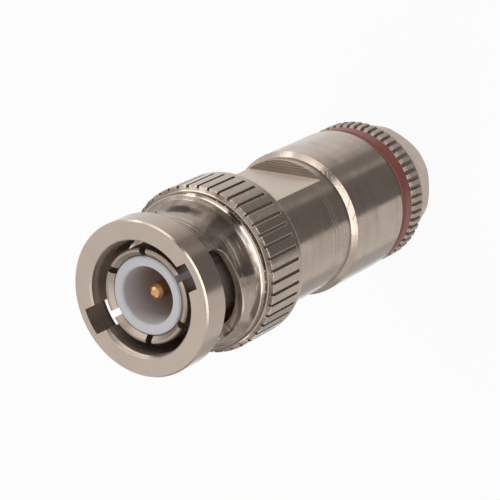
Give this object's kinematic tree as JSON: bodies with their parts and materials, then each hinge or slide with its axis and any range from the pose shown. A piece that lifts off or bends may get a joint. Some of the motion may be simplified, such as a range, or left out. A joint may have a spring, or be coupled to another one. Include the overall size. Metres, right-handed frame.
{
  "type": "coaxial cable plug",
  "caption": "Straight clamp-type coaxial plug: knurled bayonet coupling nut, slotted spring contact, centre pin, body with wrench flats and a screwed cable gland.",
  "frame": {"origin": "centre of the gland nut's rear face, which the plug stands on", "axes": "+Z along the plug's axis, towards the mating end; the body's wrench flats face +Y and -Y"},
  "size_m": [0.0144, 0.0144, 0.0389],
  "materials": {
    "nut_plate": "nickel plate, satin",
    "body_plate": "nickel plate, fine turned",
    "gland_plate": "nickel plate, satin",
    "contact_plate": "nickel plate, bright",
    "clamp_plate": "nickel plate, plain",
    "pin_gold": "gold plate",
    "insulator_white": "fluoropolymer, satin",
    "gasket_silicone": "silicone, matte",
    "seal_rubber": "red-brown, matte",
    "bush_rubber": "black, matte",
    "spring_steel": "plain"
  },
  "bodies": {
    "connector_body": {"connector_body": "body_plate", "outer_contact": "contact_plate", "front_insulator": "insulator_white", "centre_contact": "pin_gold", "rear_insulator": "insulator_white", "front_gasket": "gasket_silicone", "retaining_ring": "spring_steel", "braid_clamp": "clamp_plate", "cable_gasket": "bush_rubber"},
    "spring_pack": {"thrust_washer": "spring_steel", "wave_washer": "spring_steel"},
    "coupling_nut": {"coupling_nut": "nut_plate"},
    "clamp_stack": {"clamp_washer": "clamp_plate"},
    "clamp_nut": {"clamp_nut": "gland_plate", "nut_seal_ring": "seal_rubber"}
  },
  "joints": [
    {"name": "nut_turn", "type": "hinge", "parent": "connector_body", "child": "spring_pack", "pos_m": [0, 0, 0.025], "axis": [0, 0, 1], "continuous": true},
    {"name": "nut_float", "type": "slide", "parent": "spring_pack", "child": "coupling_nut", "axis": [0, 0, 1], "range_m": [0, 0.0005], "stiffness_N_per_m": 450, "deforming": ["wave_washer"]},
    {"name": "clamp_travel", "type": "slide", "parent": "connector_body", "child": "clamp_stack", "axis": [0, 0, -1], "range_m": [0, 0.00376]},
    {"name": "clamp_turn", "type": "hinge", "parent": "clamp_stack", "child": "clamp_nut", "pos_m": [0, 0, 0.008], "axis": [0, 0, -1], "range_deg": [0, 1800]}
  ],
  "couplings": [
    {"joint": "clamp_travel", "follows": "clamp_turn", "m_per_rad": 0.00011937}
  ]
}
